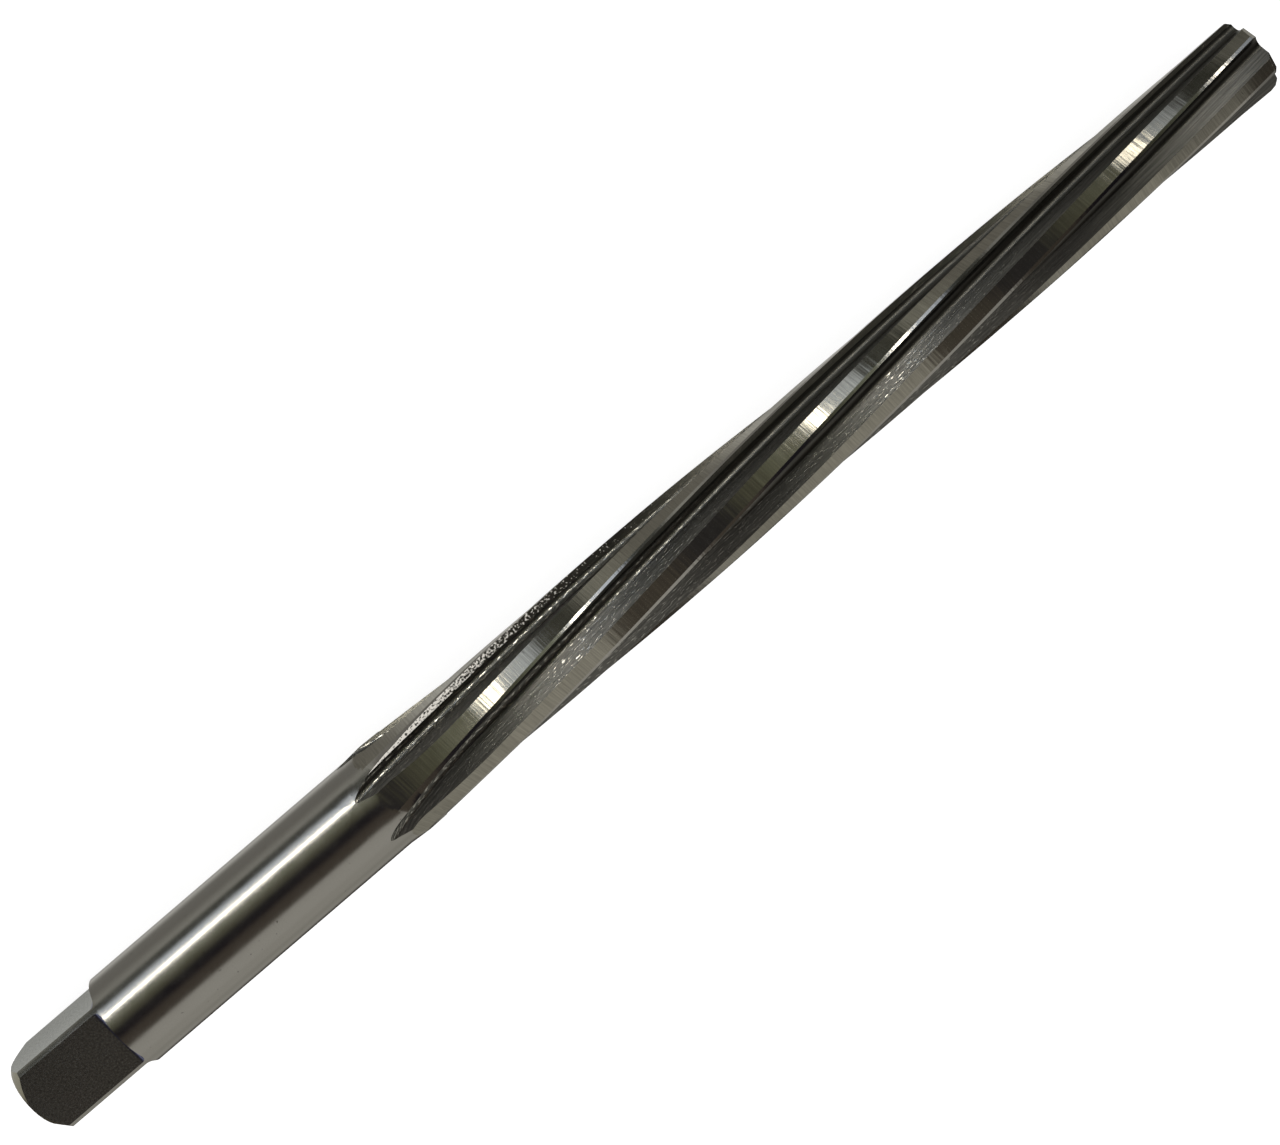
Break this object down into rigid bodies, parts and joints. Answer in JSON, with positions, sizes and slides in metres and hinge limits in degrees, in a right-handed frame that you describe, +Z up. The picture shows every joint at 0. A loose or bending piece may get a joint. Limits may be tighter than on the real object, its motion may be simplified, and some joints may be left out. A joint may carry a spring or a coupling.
{
  "type": "taper pin reamer",
  "caption": "Straight-shank taper pin reamer with left-hand spiral flutes, relieved lands, a square driving tang and centre holes at both ends.",
  "frame": {"origin": "on the tool's axis at the flat end of the square tang", "axes": "+X along the tool's axis from the tang to the small cutting end, +Z up with the tool lying on a bench"},
  "size_m": [0.1381, 0.0094, 0.0092],
  "materials": {
    "ground_tool_steel": "hardened high-speed steel, cylindrically ground shank, relief-ground lands and milled flutes, uncoated"
  },
  "bodies": {
    "root": {"taper_pin_reamer": "ground_tool_steel"}
  },
  "joints": []
}
